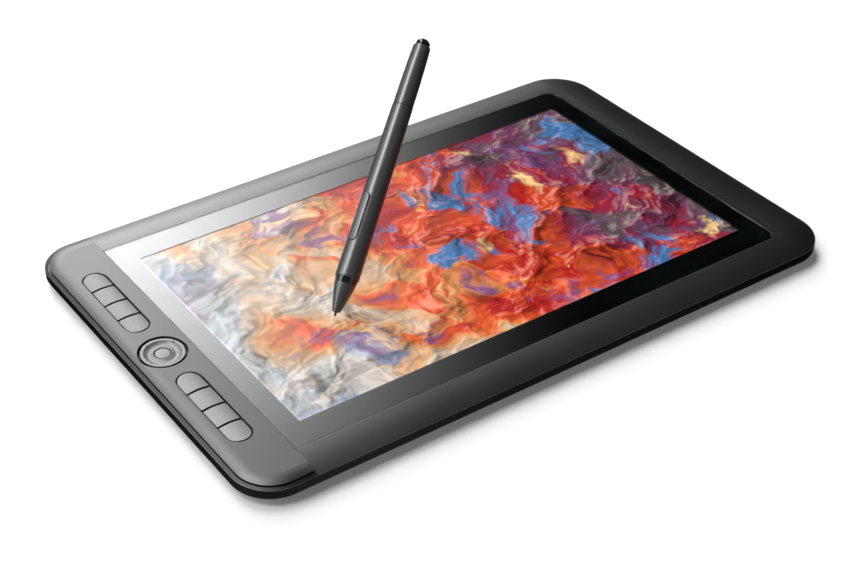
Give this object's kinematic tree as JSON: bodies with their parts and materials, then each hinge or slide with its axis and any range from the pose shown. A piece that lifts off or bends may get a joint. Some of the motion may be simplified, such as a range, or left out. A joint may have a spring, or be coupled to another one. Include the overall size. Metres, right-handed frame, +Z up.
{
  "type": "graphics tablet with screen",
  "caption": "Flat pen display with a glass-covered screen, a strip of keys and a wheel on its left, and its cordless pen standing on the glass.",
  "frame": {"origin": "centre of the tablet's plan, on the surface that its rubber feet stand on", "axes": "+X along the long side away from the key strip, +Y to the back edge, +Z up through the glass"},
  "size_m": [0.3796, 0.2378, 0.1171],
  "materials": {
    "frame_plastic": "satin, faint speckle",
    "cover_plastic": "fine texture",
    "key_plastic": "satin",
    "glass": "polished",
    "screen": null,
    "screen_metal": "brushed",
    "guide_acrylic": "clear",
    "board": "solder mask",
    "chip": "matte",
    "steel": "plated",
    "socket_metal": "plated",
    "flex": "amber film",
    "rubber": "matte",
    "pen_plastic": "soft satin",
    "pen_gloss": "polished",
    "pen_key": "satin",
    "nib_plastic": "matte",
    "ferrite": "sintered",
    "copper": "wound wire"
  },
  "bodies": {
    "tablet": {"front_frame": "frame_plastic", "back_cover": "cover_plastic", "key_panel": "frame_plastic", "cover_glass": "glass", "glass_gasket": "rubber", "screen_cell": "screen", "backlight_tray": "screen_metal", "light_guide": "guide_acrylic", "light_bar": "chip", "sensing_board": "board", "shield_plate": "screen_metal", "screen_chassis": "screen_metal", "chassis_screws": "steel", "main_board": "board", "main_chips": "chip", "board_screws": "steel", "port_board": "board", "usb_socket": "socket_metal", "video_socket": "socket_metal", "power_switch": "chip", "key_board": "board", "key_board_screws": "steel", "key_switches": "chip", "wheel_encoder": "chip", "screen_flex": "flex", "key_flex": "flex", "port_flex": "flex", "rubber_feet": "rubber", "case_screws": "steel"},
    "key_1": {"key_1": "key_plastic"},
    "key_2": {"key_2": "key_plastic"},
    "key_3": {"key_3": "key_plastic"},
    "key_4": {"key_4": "key_plastic"},
    "key_5": {"key_5": "key_plastic"},
    "key_6": {"key_6": "key_plastic"},
    "key_7": {"key_7": "key_plastic"},
    "key_8": {"key_8": "key_plastic"},
    "wheel": {"wheel": "key_plastic"},
    "wheel_button": {"wheel_button": "key_plastic"},
    "power_button": {"power_button": "key_plastic"},
    "pen": {"pen_barrel": "pen_plastic", "nose_cone": "pen_plastic", "light_ring": "pen_gloss", "rocker_pin": "steel", "rocker_switches": "chip", "tail_sleeve": "pen_plastic", "end_cap": "pen_gloss", "ferrite_core": "ferrite", "pen_coil": "copper", "pressure_sensor": "chip", "inner_carrier": "nib_plastic", "pen_board": "board"},
    "nib": {"nib": "nib_plastic", "nib_holder": "nib_plastic"},
    "side_rocker": {"side_rocker": "pen_key"}
  },
  "joints": [
    {"name": "key_1_press", "type": "slide", "parent": "tablet", "child": "key_1", "axis": [0, 0, -1], "range_m": [0, 0.0005], "stiffness_N_per_m": 900},
    {"name": "key_2_press", "type": "slide", "parent": "tablet", "child": "key_2", "axis": [0, 0, -1], "range_m": [0, 0.0005], "stiffness_N_per_m": 900},
    {"name": "key_3_press", "type": "slide", "parent": "tablet", "child": "key_3", "axis": [0, 0, -1], "range_m": [0, 0.0005], "stiffness_N_per_m": 900},
    {"name": "key_4_press", "type": "slide", "parent": "tablet", "child": "key_4", "axis": [0, 0, -1], "range_m": [0, 0.0005], "stiffness_N_per_m": 900},
    {"name": "key_5_press", "type": "slide", "parent": "tablet", "child": "key_5", "axis": [0, 0, -1], "range_m": [0, 0.0005], "stiffness_N_per_m": 900},
    {"name": "key_6_press", "type": "slide", "parent": "tablet", "child": "key_6", "axis": [0, 0, -1], "range_m": [0, 0.0005], "stiffness_N_per_m": 900},
    {"name": "key_7_press", "type": "slide", "parent": "tablet", "child": "key_7", "axis": [0, 0, -1], "range_m": [0, 0.0005], "stiffness_N_per_m": 900},
    {"name": "key_8_press", "type": "slide", "parent": "tablet", "child": "key_8", "axis": [0, 0, -1], "range_m": [0, 0.0005], "stiffness_N_per_m": 900},
    {"name": "wheel_turn", "type": "hinge", "parent": "tablet", "child": "wheel", "pos_m": [-0.17168, 0.0015, 0.012], "axis": [0, 0, 1], "continuous": true},
    {"name": "wheel_button_press", "type": "slide", "parent": "tablet", "child": "wheel_button", "axis": [0, 0, -1], "range_m": [0, 0.0005], "stiffness_N_per_m": 900},
    {"name": "power_button_press", "type": "slide", "parent": "tablet", "child": "power_button", "axis": [0, -1, 0], "range_m": [0, 0.0004], "stiffness_N_per_m": 900},
    {"name": "pen_lift", "type": "slide", "parent": "tablet", "child": "pen", "axis": [0.6444, 0.4121, 0.6441], "range_m": [0, 0.08]},
    {"name": "nib_press", "type": "slide", "parent": "pen", "child": "nib", "axis": [0.6444, 0.4121, 0.6441], "range_m": [0, 0.0005], "stiffness_N_per_m": 1200},
    {"name": "side_rocker_tip", "type": "hinge", "parent": "pen", "child": "side_rocker", "pos_m": [-0.05183, -0.00073, 0.05122], "axis": [0.3036, -0.911, 0.2791], "range_deg": [-2, 2], "stiffness_Nm_per_rad": 0.6}
  ]
}
